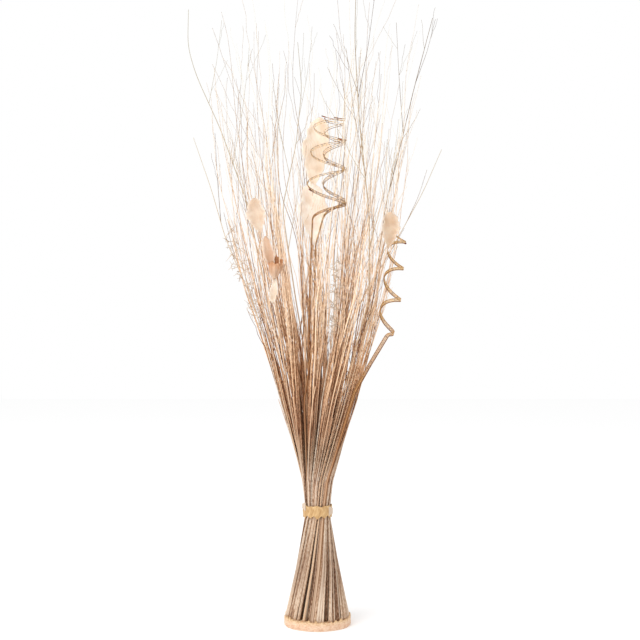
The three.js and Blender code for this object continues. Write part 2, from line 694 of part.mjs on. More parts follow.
// The tie: a folded palm-leaf strip, its faces standing out and in by turns, with points along its lower
// edge.
{
  const steps = TIE.points * 4;
  const sections = [...Array(steps).keys()].map((i) => {
    const angle = (2 * Math.PI * i) / steps;
    const point = Math.abs(((i % 4) - 2) / 2);
    const outer = TIE.inner + TIE.thick + (i % 2 ? TIE.fold : 0);
    const low = TIE.bottom - TIE.point * (1 - point) + 1;
    const high = TIE.top - TIE.notch * point;
    const at = (radius, z) => vec(radius * Math.cos(angle), radius * Math.sin(angle), z);
    return [at(TIE.inner, low), at(outer, low), at(outer, high), at(TIE.inner, high)];
  });
  const positions = sections.flat().flatMap((p) => [p.x, p.y, p.z]);
  const faces = [];
  for (let i = 0; i < steps; i += 1) {
    for (let j = 0; j < 4; j += 1) {
      const a = i * 4 + j;
      const b = i * 4 + ((j + 1) % 4);
      const c = ((i + 1) % steps) * 4 + ((j + 1) % 4);
      const d = ((i + 1) % steps) * 4 + j;
      faces.push(a, c, b, a, d, c);
    }
  }
  addNode("tie_band", solidOfFaces(positions, faces), COLOURS.tie, 0.55);
}

// The foot disc, with a small bevel round its upper edge.
{
  const levels = [
    [FOOT.radius, 0],
    [FOOT.radius, FOOT.height - FOOT.edge],
    [FOOT.radius - FOOT.edge, FOOT.height],
  ];
  const rings = levels.map(([radius, z]) => levelRing(vec(0, 0, z), radius, FOOT.sides, 0));
  addNode("foot_disc", solidOfRings(rings), COLOURS.foot, 0.9);
}

export default nodes;
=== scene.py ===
"""The looks of a tied bundle of dried twigs with coiled canes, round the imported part. Metres, +Z up."""

import bpy
import numpy as np
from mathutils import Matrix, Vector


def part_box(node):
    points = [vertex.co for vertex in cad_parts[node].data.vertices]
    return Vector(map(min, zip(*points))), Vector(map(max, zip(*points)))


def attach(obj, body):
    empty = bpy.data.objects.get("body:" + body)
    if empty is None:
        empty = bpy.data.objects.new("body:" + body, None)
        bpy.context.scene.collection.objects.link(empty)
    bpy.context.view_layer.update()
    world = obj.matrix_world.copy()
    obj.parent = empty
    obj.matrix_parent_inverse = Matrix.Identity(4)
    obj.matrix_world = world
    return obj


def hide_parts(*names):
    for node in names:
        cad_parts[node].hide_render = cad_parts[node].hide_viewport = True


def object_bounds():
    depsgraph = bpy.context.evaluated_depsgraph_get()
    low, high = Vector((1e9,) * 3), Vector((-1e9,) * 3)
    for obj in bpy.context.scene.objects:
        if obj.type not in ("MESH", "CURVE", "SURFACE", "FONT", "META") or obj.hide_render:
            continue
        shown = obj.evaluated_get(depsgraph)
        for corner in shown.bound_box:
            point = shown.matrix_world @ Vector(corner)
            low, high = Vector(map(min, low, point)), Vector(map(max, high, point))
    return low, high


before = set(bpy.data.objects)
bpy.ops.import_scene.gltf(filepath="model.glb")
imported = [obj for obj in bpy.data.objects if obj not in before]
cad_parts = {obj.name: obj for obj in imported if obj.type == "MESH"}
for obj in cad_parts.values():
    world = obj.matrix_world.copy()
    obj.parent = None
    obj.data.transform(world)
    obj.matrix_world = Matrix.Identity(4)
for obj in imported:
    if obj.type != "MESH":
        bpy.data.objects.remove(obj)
cad_low, cad_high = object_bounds()


# Foot disc: a round of pale fibre board, cut out of a thick sheet, that the cut stems are glued into. The
# glue has drawn its upper rim up unevenly between the stems.
class Shade:
    """A socket of a shader tree that takes part in sums: each operation adds the node that works it out."""

    def __init__(self, tree, socket):
        self.tree = tree
        self.socket = socket

    def node(self, kind, settings, inputs, output=0):
        """Any node, by its type, its settings and its inputs by name or number; gives one of its outputs."""
        made = self.tree.nodes.new(kind)
        for name, value in settings.items():
            setattr(made, name, value)
        for name, value in inputs.items():
            if isinstance(value, Shade):
                self.tree.links.new(value.socket, made.inputs[name])
            else:
                made.inputs[name].default_value = value
        return Shade(self.tree, made.outputs[output])

    def math(self, operation, first, second=0.0):
        return self.node("ShaderNodeMath", {"operation": operation}, {0: first, 1: second})

    def __add__(self, other):
        return self.math("ADD", self, other)

    def __radd__(self, other):
        return self.math("ADD", other, self)

    def __sub__(self, other):
        return self.math("SUBTRACT", self, other)

    def __rsub__(self, other):
        return self.math("SUBTRACT", other, self)

    def __mul__(self, other):
        return self.math("MULTIPLY", self, other)

    def __rmul__(self, other):
        return self.math("MULTIPLY", other, self)

    def __pow__(self, other):
        return self.math("POWER", self, other)

    def sine(self):
        return self.math("SINE", self)

    def between(self, low, high):
        """0 below low, 1 above high, and a smooth rise from one to the other."""
        settings = {"interpolation_type": "SMOOTHSTEP"}
        inputs = {"Value": self, "From Min": low, "From Max": high}
        return self.node("ShaderNodeMapRange", settings, inputs)

    def mix(self, low, high):
        """The first colour where this is 0 and the second where it is 1."""
        return self.node("ShaderNodeMix", {"data_type": "RGBA"}, {0: self, 6: low, 7: high}, 2)

    def times_colour(self, other):
        """This colour darkened by another."""
        settings = {"data_type": "RGBA", "blend_type": "MULTIPLY"}
        return self.node("ShaderNodeMix", settings, {0: 1.0, 6: self, 7: other}, 2)

    def stretched(self, x, y, z):
        """This vector with its three sides multiplied."""
        return self.node("ShaderNodeVectorMath", {"operation": "MULTIPLY"}, {0: self, 1: (x, y, z)})

    def vector(self, y, z):
        """A vector with this as its first side."""
        return self.node("ShaderNodeCombineXYZ", {}, {0: self, 1: y, 2: z})

    def noise(self, scale, detail=3.0):
        """Soft noise from 0 to 1 at the place that this vector gives."""
        inputs = {"Vector": self, "Scale": scale, "Detail": detail}
        return self.node("ShaderNodeTexNoise", {}, inputs)

    def axis(self, which):
        """One side of this vector: 0, 1 or 2."""
        return self.node("ShaderNodeSeparateXYZ", {}, {0: self}, which)

    def bump(self, height, strength, distance):
        """The surface's normal, roughened by a height."""
        inputs = {"Height": height, "Strength": strength, "Distance": distance}
        return self.node("ShaderNodeBump", {}, inputs)

    def ramp(self, stops):
        """A colour that changes with this from stop to stop, each (value, red, green, blue)."""
        made = self.node("ShaderNodeValToRGB", {}, {0: self})
        elements = made.socket.node.color_ramp.elements
        for element, (position, *shade) in zip(elements, (stops[0], stops[-1])):
            element.position = position
            element.color = colour(*shade)
        for position, *shade in stops[1:-1]:
            elements.new(position).color = colour(*shade)
        return made


def colour(red, green, blue):
    """A colour given as it looks on a screen, 0 to 255, as the light that a shader works with."""
    light = (np.array([red, green, blue]) / 255 + 0.055) / 1.055
    return (*(light**2.4), 1.0)


def new_material(name, roughness, specular):
    """A material, its principled shader, and its Object coordinates as a Shade."""
    made = bpy.data.materials.new(name)
    made.use_nodes = True
    tree = made.node_tree
    shader = tree.nodes["Principled BSDF"]
    shader.inputs["Roughness"].default_value = roughness
    shader.inputs["Specular IOR Level"].default_value = specular
    place = Shade(tree, tree.nodes.new("ShaderNodeTexCoord").outputs["Object"])
    return made, shader, place


def feed(shader, name, shade):
    """Links a Shade to one of the shader's sockets."""
    shade.tree.links.new(shade.socket, shader.inputs[name])


def grid_faces(rows, columns, round_columns=True, round_rows=False):
    """Quads over a grid of points, row by row; a round one joins its last row or column to its first."""
    row = np.arange(rows if round_rows else rows - 1)[:, None]
    column = np.arange(columns if round_columns else columns - 1)[None]
    above = (row + 1) % rows
    after = (column + 1) % columns
    corners = [
        row * columns + column,
        row * columns + after,
        above * columns + after,
        above * columns + column,
    ]
    return np.stack(np.broadcast_arrays(*corners), axis=-1).reshape(-1, 4)


def new_object(name, data):
    """An object of the scene that shows a mesh, a lamp or a camera."""
    made = bpy.data.objects.new(name, data)
    bpy.context.scene.collection.objects.link(made)
    return made


def add_piece(name, node, material, parts, smooth=True):
    """One named piece in place of a CAD node. Each part is its points, its face arrays, and its values by
    name, one number a point."""
    points = np.concatenate([part[0].reshape(-1, 3) for part in parts])
    counts = [part[0].size // 3 for part in parts]
    starts = np.cumsum([0] + counts[:-1])
    faces = [face + start for part, start in zip(parts, starts) for face in part[1]]
    corners = np.concatenate([face.ravel() for face in faces])
    sizes = np.concatenate([np.full(len(face), face.shape[1]) for face in faces])
    mesh = bpy.data.meshes.new(name)
    mesh.vertices.add(len(points))
    mesh.vertices.foreach_set("co", points.ravel())
    mesh.loops.add(len(corners))
    mesh.loops.foreach_set("vertex_index", corners)
    mesh.polygons.add(len(sizes))
    mesh.polygons.foreach_set("loop_start", np.cumsum(sizes) - sizes)
    mesh.polygons.foreach_set("use_smooth", np.full(len(sizes), smooth))
    mesh.update(calc_edges=True)
    for value in parts[0][2]:
        numbers = [np.broadcast_to(part[2][value], part[0].shape[:-1]).ravel() for part in parts]
        mesh.attributes.new(value, "FLOAT", "POINT").data.foreach_set("value", np.concatenate(numbers))
    mesh.materials.append(material)
    made = new_object(name, mesh)
    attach(made, "root")
    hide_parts(node)


def ring_at(radius, bearing, height):
    """Points round the bundle's middle, each at a radius, a bearing and a height."""
    flat = radius * np.cos(bearing), radius * np.sin(bearing)
    return np.stack(np.broadcast_arrays(*flat, height), axis=-1)


MM = 0.001
FOOT_SIDES = 240
SCALLOPS = 34
SCALLOP_RISE = 6.5
RIM_DROP = 1.4
BOARD_DROP = 0.8 * MM
foot_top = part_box("foot_disc")[1]
angle = np.linspace(0, 2 * np.pi, FOOT_SIDES, endpoint=False)
# The rim rises in scallops, each about 10 mm wide and of its own height.
scallop = 1 - np.abs(np.sin(SCALLOPS / 2 * angle + 0.9 * np.sin(5 * angle)))
scallop = scallop * (0.6 + 0.4 * np.sin(7 * angle + 1))
rim = foot_top.z + MM * (SCALLOP_RISE * scallop**1.3 - RIM_DROP + 0.5 * np.sin(61 * angle))
top = np.full(FOOT_SIDES, foot_top.z - BOARD_DROP)
ground = np.zeros(FOOT_SIDES)
# The disc's section from the middle of its underside to the middle of its top: share of the radius, height.
section = [
    (0.0, ground),
    (0.6, ground),
    (0.992, ground),
    (1.0, ground + 0.6 * MM),
    (1.0, 0.5 * rim),
    (1.0, rim - 0.7 * MM),
    (0.985, rim),
    (0.965, rim - 0.4 * MM),
    (0.93, top),
    (0.5, top),
    (0.0, top),
]
# The cut edge is a little uneven, and nowhere wider than the CAD disc by more than half a millimetre.
ripple = 0.4 * np.sin(7 * angle) + 0.3 * np.sin(23 * angle) + 0.3 * np.sin(71 * angle)
edge = foot_top.x + MM * (ripple - 0.6)
disc = np.stack([ring_at(edge * share, angle, height) for share, height in section])
board, shader, place = new_material("pale fibre board", 0.9, 0.1)
felt = place.stretched(1, 1, 2).noise(260, 5)
blotch = place.noise(90)
light = (0.6 * felt + 0.4 * blotch).between(0.34, 0.62)
side_skin = light.mix(colour(214, 172, 142), colour(234, 206, 180))
rim_skin = light.mix(colour(194, 156, 112), colour(226, 194, 152))
upper = place.axis(2).between(0.006, 0.018)
feed(shader, "Base Color", upper.mix(side_skin, rim_skin))
feed(shader, "Normal", place.bump(felt, 0.5, 0.8 * MM))
disc_faces = [grid_faces(len(section), FOOT_SIDES)]
add_piece("foot_disc_board", "foot_disc", board, [(disc, disc_faces, {})])


# Tie: a strip of golden palm leaf folded over and over as it was wound round the waist, so that its facets
# take the light by turns and its lower edge stands down in a row of points. Its colour also has painted
# shade in the creases and painted highlight on the ridges. Its two ends are tucked under.
def attribute(place, name):
    """A value that the mesh carries for each of its points."""
    return place.node("ShaderNodeAttribute", {"attribute_name": name}, {}, 2)


def thick_sheet(grid, thickness, closed=False):
    """A sheet of even thickness: the grid moved half of it each way along its normal, joined at its rim."""
    rows, columns, _ = grid.shape
    around = np.roll(grid, -1, 1) - np.roll(grid, 1, 1) if closed else np.gradient(grid, axis=1)
    normal = np.cross(around, np.gradient(grid, axis=0))
    normal *= thickness / 2 / (np.linalg.norm(normal, axis=2, keepdims=True) + 1e-12)
    index = np.arange(rows * columns).reshape(rows, columns)
    behind = rows * columns
    if closed:
        loops = [index[0], index[-1][::-1]]
    else:
        loops = [np.concatenate([index[0], index[1:, -1], index[-1, -2::-1], index[-2:0:-1, 0]])]
    faces = [grid_faces(rows, columns, closed), grid_faces(rows, columns, closed)[:, ::-1] + behind]
    for loop in loops:
        after = np.roll(loop, -1)
        faces.append(np.stack([after, loop, loop + behind, after + behind], axis=1))
    return np.stack([grid + normal, grid - normal]), faces


TIE_POINTS = 12
COLUMNS_A_POINT = 24
TIE_ROWS = 12
TIE_INNER = 23.4 * MM
TIE_LOW, TIE_HIGH = 183.5, 205.5
POINT_DEPTH = 5
STRIP_THICKNESS = 0.5 * MM
palm, shader, place = new_material("golden palm leaf with painted crease shade", 0.5, 0.4)
strand = place.stretched(1, 1, 0.25).noise(420, 4)
# Painted shade in the creases and painted highlight on the ridges, from the fold value; 2 marks the pale
# back.
crease_shade_and_back = attribute(place, "crease_shade_and_back")
gold_with_crease_shade = (0.65 * strand + 0.35 * crease_shade_and_back).between(0.3, 0.8).mix(colour(180, 140, 90), colour(220, 184, 132))
feed(shader, "Base Color", crease_shade_and_back.between(1.2, 1.6).mix(gold_with_crease_shade, colour(204, 182, 160)))
feed(shader, "Normal", place.bump(strand, 0.5, 0.4 * MM))
around = np.linspace(0, 2 * np.pi, TIE_POINTS * COLUMNS_A_POINT, endpoint=False)
turned = TIE_POINTS * around / (2 * np.pi)
point_share = np.abs(2 * ((turned + 0.5) % 1) - 1)
low_edge = MM * (TIE_LOW + POINT_DEPTH * point_share + 0.8 * np.sin(5 * around))
high_edge = MM * (TIE_HIGH - 1.5 * point_share + 0.8 * np.sin(7 * around + 1))
up = np.linspace(0, 1, TIE_ROWS)[:, None]
# Herringbone folds, which lean one way below the strip's middle and the other way above it, and finer ones
# across them, each from 0 in its crease to 1 on its ridge. The same values paint shade into the creases
# and light onto the ridges of the strip's colour.
fold = np.abs(2 * ((turned + 0.5 * np.abs(2 * up - 1) + 0.06 * np.sin(9 * around)) % 1) - 1)
fold = 0.7 * fold + 0.3 * np.abs(2 * ((3 * turned - 1.5 * up) % 1) - 1)
outer = TIE_INNER + MM * (1.0 + fold)
wall = ring_at(outer, around, low_edge + (high_edge - low_edge) * up)
inner_low = ring_at(TIE_INNER, around, low_edge)[None]
inner_high = ring_at(TIE_INNER, around, high_edge)[None]
band = np.concatenate([inner_low, wall, inner_high])
crease_shades = np.concatenate([0 * fold[:1], fold, 0 * fold[:1]])
tie_parts = [(band, [grid_faces(len(band), len(around), True, True)], {"crease_shade_and_back": crease_shades})]
# The strip's two ends, on the right and on the left, show its pale back: where each starts, how far it
# turns, at what height it lies and half its width. A value of 2 in place of the painted crease shade marks
# them for the pale colour of the back.
TIE_ENDS = ((-0.7, 0.7, 195, 7), (-2.5, -0.7, 203, 6))
run, side = np.meshgrid(np.linspace(0, 1, 10), np.linspace(-1, 1, 5), indexing="ij")
for bearing, turn, height, half in TIE_ENDS:
    out = TIE_INNER + MM * (2.0 + 0.8 * run)
    a = bearing + turn * run
    z = MM * (height + half * side * (1 - 0.3 * run) + 1.5 * np.sin(5 * run + side))
    tab_points, tab_faces = thick_sheet(ring_at(out, a, z), STRIP_THICKNESS)
    tie_parts.append((tab_points, tab_faces, {"crease_shade_and_back": 2.0}))
add_piece("tie_band_folded_strip", "tie_band", palm, tie_parts, smooth=False)


# Coiled canes: brown canes of three fibres lying side by side, steamed and wound into a corkscrew. They
# stand in the bundle with the twigs, glued into the foot, and end in dark cut tips.
SUNK = 2 * MM
# The bundle's round section from the foot up: the height of each row, its radius and how far it has turned.
HEIGHTS = MM * np.array([15.3, 100, 194, 248, 386, 556, 726, 906, 1093])
RADII = MM * np.array([54.5, 37.8, 21.6, 28.4, 70.5, 126, 163, 200, 228])
TURNS = np.radians([-40, -26, 0, 10, 38, 50, 56, 59, 61])
FOOT_Z, WAIST_Z, NECK_Z = HEIGHTS[0], HEIGHTS[2], HEIGHTS[3]
WAIST_RADIUS = RADII[2]


def spread(z):
    """How far the waist's round section has turned and grown at a height, as a complex number, straight
    between the rows above."""
    rows = RADII / WAIST_RADIUS * np.exp(1j * TURNS)
    return np.interp(z, HEIGHTS, rows.real) + 1j * np.interp(z, HEIGHTS, rows.imag)


def carry(slot, z):
    """The points at heights z of a stem that keeps one slot, a complex number, of the waist's section."""
    flat = spread(z) * slot
    return np.stack([flat.real, flat.imag, np.broadcast_to(z, flat.shape)], axis=-1)


def rounded(points, step, reach):
    """A path through points, at even steps, with its corners rounded by a running mean that reaches so far.
    What the points carry after their x, y and z goes along with them."""
    points = np.asarray(points, float)
    run = np.concatenate([[0], np.cumsum(np.linalg.norm(np.diff(points[:, :3], axis=0), axis=1))])
    at = np.linspace(0, run[-1], int(run[-1] / step) + 2)
    path = np.stack([np.interp(at, run, side) for side in points.T], axis=1)
    window = np.hanning(2 * int(reach / step) + 3)
    padded = np.pad(path, ((len(window) // 2,) * 2, (0, 0)), "reflect", reflect_type="odd")
    return np.stack([np.convolve(side, window / window.sum(), "valid") for side in padded.T], axis=1)


def slot_points(slot, top):
    """A stem that keeps its slot, a radius (mm) and bearing (degrees) of the waist, up to a height (mm): the
    rows of the section between its ends, but none within 8 mm of them."""
    radius, bearing = slot
    rows = HEIGHTS[(HEIGHTS > FOOT_Z + 8 * MM) & (HEIGHTS < (top - 8) * MM)]
    z = np.concatenate([[FOOT_Z - SUNK], rows, [top * MM]])
    return carry(radius * MM * np.exp(1j * np.radians(bearing)), z)


def tapered(path, foot, waist, tip):
    """The radius at each point of a stem, from its radii (mm) at the foot, the waist and the tip."""
    return MM * np.interp(path[:, 2], [FOOT_Z, WAIST_Z, path[-1, 2]], [foot, waist, tip])


def frames(paths):
    """The two directions square to each (stems, points, 3) path: the first is carried along it without a
    twist, and the second is square to the first and to the path."""
    along = np.gradient(paths, axis=1)
    along /= np.linalg.norm(along, axis=2, keepdims=True) + 1e-12
    across = np.zeros_like(paths)
    across[:, 0] = np.cross(along[:, 0], np.eye(3)[np.argmin(np.abs(along[:, 0]), axis=1)])
    for i in range(1, paths.shape[1]):
        across[:, i] = across[:, i - 1]
        across[:, i] -= along[:, i] * np.sum(across[:, i] * along[:, i], axis=1, keepdims=True)
    across /= np.linalg.norm(across, axis=2, keepdims=True)
    return across, np.cross(along, across)


def tubes(paths, radii, sides, tone=0.5):
    """Round stems along paths: centre + radius·(across·cos a + up·sin a), with cut ends. Each point carries
    its stem's tone, its run along the stem in metres and its share of the stem's length."""
    stems, points, _ = paths.shape
    across, up = frames(paths)
    turn = 2 * np.pi * np.arange(sides)[:, None] / sides
    ring = across[:, :, None] * np.cos(turn) + up[:, :, None] * np.sin(turn)
    made = paths[:, :, None] + radii[:, :, None, None] * ring
    starts = np.arange(stems)[:, None] * points * sides
    walls = (grid_faces(points, sides)[None] + starts[:, :, None]).reshape(-1, 4)
    feet = np.arange(sides)[::-1] + starts
    tips = np.arange(sides) + (points - 1) * sides + starts
    lengths = np.linalg.norm(np.diff(paths, axis=1), axis=2)
    run = np.concatenate([np.zeros((stems, 1)), np.cumsum(lengths, axis=1)], axis=1)
    values = {
        "tone": np.broadcast_to(np.reshape(tone, (-1, 1, 1)), made.shape[:-1]),
        "run": np.broadcast_to(run[:, :, None], made.shape[:-1]),
        "share": np.broadcast_to((run / run[:, -1:])[:, :, None], made.shape[:-1]),
    }
    return made, [walls, feet, tips], values


POINTS_A_TURN = 40


def coil(start, end, radii, turns, bearing, opened=1, opening=1, tighten=1.5, lean=0.2, tip=0):
    """A circle carried up a leaning line: centre(rise) + size·(right·cos a + back·sin a). Its size grows
    from the share opened of itself to all of it over the first turns, as many as opening says, while the
    radii change evenly, and rise = 1 - (1 - t)^tighten draws its turns closer. Each turn leans by
    (lean·sin a + tip·cos a) of the pitch over 2 pi. Gives the points (mm) and the way that each faces."""
    start, end = np.array(start, float), np.array(end, float)
    axis = (end - start) / np.linalg.norm(end - start)
    right = np.array([1.0, 0, 0]) - axis[0] * axis
    right /= np.linalg.norm(right)
    t = np.linspace(0.004, 1, int(turns * POINTS_A_TURN))[:, None]
    eased = np.clip(t * turns / opening, 0, 1)
    size = (radii[0] + (radii[1] - radii[0]) * t) * (opened + (1 - opened) * eased**2 * (3 - 2 * eased))
    a = np.radians(bearing) + 2 * np.pi * turns * t
    outward = np.cos(a) * right + np.sin(a) * np.cross(axis, right)
    pitch = np.linalg.norm(end - start) * tighten * (1 - t) ** (tighten - 1) / turns
    tilt = -pitch / (2 * np.pi) * (lean * np.sin(a) + tip * np.cos(a)) * axis
    return start + (end - start) * (1 - (1 - t) ** tighten) + size * outward + tilt, outward


def obstacle(path, radii):
    """A path that the twigs must stay clear of, as rows of x, y, z and radius."""
    return np.column_stack([path, np.broadcast_to(radii, len(path))])


obstacles = []
cane, shader, place = new_material("brown cane", 0.55, 0.35)
mark = (attribute(place, "run") * 240).vector(attribute(place, "tone") * 40, 0.0).noise(1.0, 2)
share = attribute(place, "share")
brown = share.ramp([
    (0.0, 206, 182, 162),
    (0.2, 200, 166, 138),
    (0.35, 186, 136, 92),
    (0.52, 218, 172, 118),
    (0.62, 240, 204, 150),
    (0.98, 244, 210, 158),
    (0.985, 164, 84, 44),
])
# The fibres differ from dark to pale: the pale middle fibre is a painted highlight and the dark one on the
# first edge painted shade. Dark marks cross them all above the lower third.
fibre_highlight_and_shade = attribute(place, "tone").mix(colour(174, 148, 116), colour(255, 252, 246))
plain = mark.between(0.48, 0.52) + (1 - share.between(0.3, 0.5)) + (1 - attribute(place, "marked"))
feed(shader, "Base Color", plain.mix(colour(112, 76, 52), brown.times_colour(fibre_highlight_and_shade)))
CANE_RADII = (2.3, 1.7, 1.0)
CANE_SIDES = 7
# The three fibres of a cane: on which side of its middle each lies, and how pale it is, which paints a
# highlight on the middle one and shade on the first edge one.
FIBRES_AND_PAINTED_LIGHT = ((-1, 0.0), (0, 1.0), (1, 0.5))
# Above this height, over so much of it, the fibres come loose from one another. Their cut ends are splayed.
LOOSE_FROM, LOOSE_OVER = 0.7, 0.15
SPLAYED_POINTS, SPLAY = 3, 2.2
# Each cane keeps its slot up to a height, goes through its bends into its coil, and ends in its tail. Each
# of its fibres ends at a height of its own. Their distance from the cane's middle low down, at the start of
# the coil and at its tip, and their radius, are shares of the cane's radius.
CANES = {
    "coiled_cane_inner": dict(
        slot=(13.1, -150),
        kept_to=640,
        bends=[],
        coil=dict(
            start=(12.5, -92, 687), end=(22, -97, 864), radii=(35, 21), turns=4.2, bearing=200,
            opened=0.65, opening=0.45,
        ),
        tail=[],
        fibre_ends=(741, 860, 856),
        fibre_gaps=(0.7, 1.2, 2.8),
        fibre_radius=0.62,
        marked=1.0,
    ),
    "coiled_cane_outer": dict(
        slot=(17.7, -150),
        kept_to=386,
        bends=[(-6, -80, 500), (-3, -98, 645)],
        coil=dict(start=(27, -93, 691), end=(27, -98, 852), radii=(18.5, 15), turns=4, bearing=200),
        tail=[],
        fibre_ends=(855, 862, 820),
        fibre_gaps=(0.7, 1.2, 2.8),
        fibre_radius=0.62,
        marked=1.0,
    ),
    "coiled_cane_right": dict(
        slot=(19.5, -60),
        kept_to=400,
        bends=[(90, -24, 448)],
        coil=dict(
            start=(118, -25, 488), end=(138, -27, 680), radii=(17.5, 14), turns=4, bearing=-90,
            opened=0, opening=0.5, tighten=1.3, lean=0.8, tip=0.5,
        ),
        tail=[(126, -37, 699)],
        fibre_ends=(655, 680, 1100),
        fibre_gaps=(0.9, 2.0, 1.5),
        fibre_radius=0.8,
        marked=0.45,
    ),
}
for name, one in CANES.items():
    low = slot_points(one["slot"], one["kept_to"])
    turns, facing = coil(**one["coil"])
    points = np.concatenate([low, MM * np.reshape([*one["bends"], *turns, *one["tail"]], (-1, 3))])
    before = len(low) + len(one["bends"])
    after = len(one["tail"])
    outward = np.concatenate([np.tile(facing[0], (before, 1)), facing, np.tile(facing[-1], (after, 1))])
    route = rounded(np.column_stack([points, outward]), 3 * MM, 6 * MM)
    path = route[:, :3]
    beside = np.cross(route[:, 3:], np.gradient(path, axis=0))
    beside /= np.linalg.norm(beside, axis=1, keepdims=True)
    thick = tapered(path, *CANE_RADII)
    obstacles.append(obstacle(path, thick))
    coil_start = MM * one["coil"]["start"][2]
    gap = thick * np.interp(path[:, 2], [0.3, coil_start, path[-1, 2]], one["fibre_gaps"])
    slimmer = np.interp(path[:, 2], [0.6, LOOSE_FROM, path[-1, 2]], [1, 0.9, 0.7])
    parts = []
    # Each fibre's tone carries its share of the painted highlight and shade.
    for (beside_share, tone), end in zip(FIBRES_AND_PAINTED_LIGHT, one["fibre_ends"]):
        kept = path[:, 2] < end * MM
        loose = np.clip((path[:, 2:] - LOOSE_FROM) / LOOSE_OVER, 0, 1) * (beside_share + 0.3) * 1.6 * MM
        line = path + beside * (beside_share * gap)[:, None] + route[:, 3:] * loose
        size = (thick * one["fibre_radius"] * slimmer)[kept]
        size[-SPLAYED_POINTS:] *= SPLAY
        points, faces, values = tubes(line[kept][None], size[None], CANE_SIDES, tone)
        parts.append((points, faces, {**values, "marked": one["marked"]}))
    add_piece(name + "_fibres", name, cane, parts)


# Tendrils: thin straight rods with a fine dry tendril wound round each in close loops, which bears short
# stiff hairs.
def standing_stem(slot, top, further, step=4 * MM, reach=16 * MM):
    """A stem that keeps its slot (radius, bearing) up to a height, then goes through further points (mm)."""
    return rounded(np.concatenate([slot_points(slot, top), MM * np.reshape(further, (-1, 3))]), step, reach)


rng = np.random.default_rng(7)
vine, shader, place = new_material("dry tendril", 0.75, 0.2)
patch = place.noise(160, 3).between(0.3, 0.7)
feed(shader, "Base Color", patch.mix(colour(178, 154, 132), colour(224, 206, 186)))
ROD_RADII = (2.3, 1.4, 0.7)
ROD_SIDES = 7
POINTS_A_LOOP = 26
WINDING_RADIUS = 0.5 * MM
HAIRS = 120
HAIR_RADII = (0.4, 0.34, 0.28)
# Each rod keeps its slot up to the bottom of its winding, then leans to its tip. The winding ends at its
# top, and has a radius and a number of loops.
TENDRILS = {
    "tendril_left": dict(
        slot=(19.6, 150), bottom=505, top=676, radius=14, loops=10.5, tip=(-150, -64, 690)
    ),
    "tendril_front": dict(
        slot=(18.4, -121), bottom=490, top=622, radius=8.5, loops=9.5, tip=(33, -112, 640)
    ),
}
for name, one in TENDRILS.items():
    rod = standing_stem(one["slot"], one["bottom"], [one["tip"]], reach=8 * MM)
    t = np.linspace(0, 1, int(one["loops"] * POINTS_A_LOOP))[:, None]
    bottom = one["bottom"] + 4
    height = MM * (bottom + (one["top"] - bottom) * t[:, 0])
    centre = np.stack([np.interp(height, rod[:, 2], side) for side in rod.T], axis=1)
    # The loops open smoothly from the rod at the bottom and close on it at the top.
    open_low = np.clip(t / 0.12, 0, 1)
    open_high = np.clip((1 - t) / 0.06, 0, 1)
    opened = open_low**2 * (3 - 2 * open_low) * open_high**2 * (3 - 2 * open_high)
    uneven = 0.85 + 0.25 * np.sin(11 * t + 1) + 0.2 * np.sin(43 * t)
    a = 2 * np.pi * (one["loops"] * t + 0.22 * np.sin(31 * t) + 0.1 * np.sin(67 * t))
    rise = 0.35 * np.sin(2 * a + 5 * t)
    circle = np.concatenate([np.cos(a), np.sin(a), rise], axis=1)
    winding = centre + MM * one["radius"] * opened * uneven * circle
    obstacles.append(obstacle(rod, 1.4 * MM))
    obstacles.append(obstacle(centre, (one["radius"] + 1) * MM))
    rod_part = tubes(rod[None], tapered(rod, *ROD_RADII)[None], ROD_SIDES)
    winding_part = tubes(winding[None], np.full((1, len(winding)), WINDING_RADIUS), 5)
    # Straight hairs, 4 to 14 mm long, each from a point of the winding in a direction of its own.
    root = winding[rng.integers(0, len(winding), HAIRS)]
    way = rng.normal(size=(HAIRS, 3))
    way *= MM * (4 + 10 * rng.random((HAIRS, 1))) / np.linalg.norm(way, axis=1, keepdims=True)
    hairs = root[:, None] + way[:, None] * np.linspace(0, 1, 3)[:, None]
    hair_part = tubes(hairs, MM * np.broadcast_to(HAIR_RADII, (HAIRS, 3)), 4)
    add_piece(name + "_rod_and_winding", name, vine, [rod_part, winding_part, hair_part])


# Papery leaves: thin dry blades, pale peach, cupped and crinkled, with fine veins along them. Each stands
# on its own stalk; the middle one carries two, one above the other.
BLADE_THICKNESS = 0.5 * MM


def blade(root, tip, width, cup, wave, face, tone, rows=44, columns=18):
    """A sheet from root to tip (mm): half its width at a share s of its length is w/2·sin(pi s^1.25)^0.5,
    less near the root, and it stands forward by cup·t²·sin(pi s) + wave·sin(7s + 2.5t)·s, with fine
    crinkles and an uneven edge."""
    root, tip, face = (np.array(place, float) for place in (root, tip, face))
    run = tip - root
    along = run / np.linalg.norm(run)
    across = np.cross(along, face)
    across /= np.linalg.norm(across)
    eased = 0.5 - 0.5 * np.cos(np.linspace(0, np.pi, rows))
    s, t = np.meshgrid(eased, np.linspace(-1, 1, columns), indexing="ij")
    half = width / 2 * np.maximum(0.07, np.sin(np.pi * s**1.25).clip(0) ** 0.5)
    half = half * (0.4 + 0.6 * np.clip(s / 0.45, 0, 1))
    half = half * (1 + 0.09 * np.sin(19 * s + 3 * np.sign(t)) + 0.06 * np.sin(43 * s + t))
    lift = cup * t**2 * np.sin(np.pi * s) + wave * np.sin(7 * s + 2.5 * t) * s
    lift = lift + 0.5 * np.sin(23 * s + 5 * t) * np.sin(9 * t + 4 * s)
    outward = np.cross(across, along)
    grid = root + s[..., None] * run + (half * t)[..., None] * across + lift[..., None] * outward
    points, faces = thick_sheet(MM * grid, BLADE_THICKNESS)
    return points, faces, {"tone": tone, "share": t, "leafy": 1.0}


def stalk(path, radii):
    """A leaf's stalk as one tube, from its radii at the foot, the waist and the tip."""
    points, faces, values = tubes(path[None], tapered(path, *radii)[None], 7)
    return points, faces, {"tone": values["tone"], "share": values["share"], "leafy": 0.0}


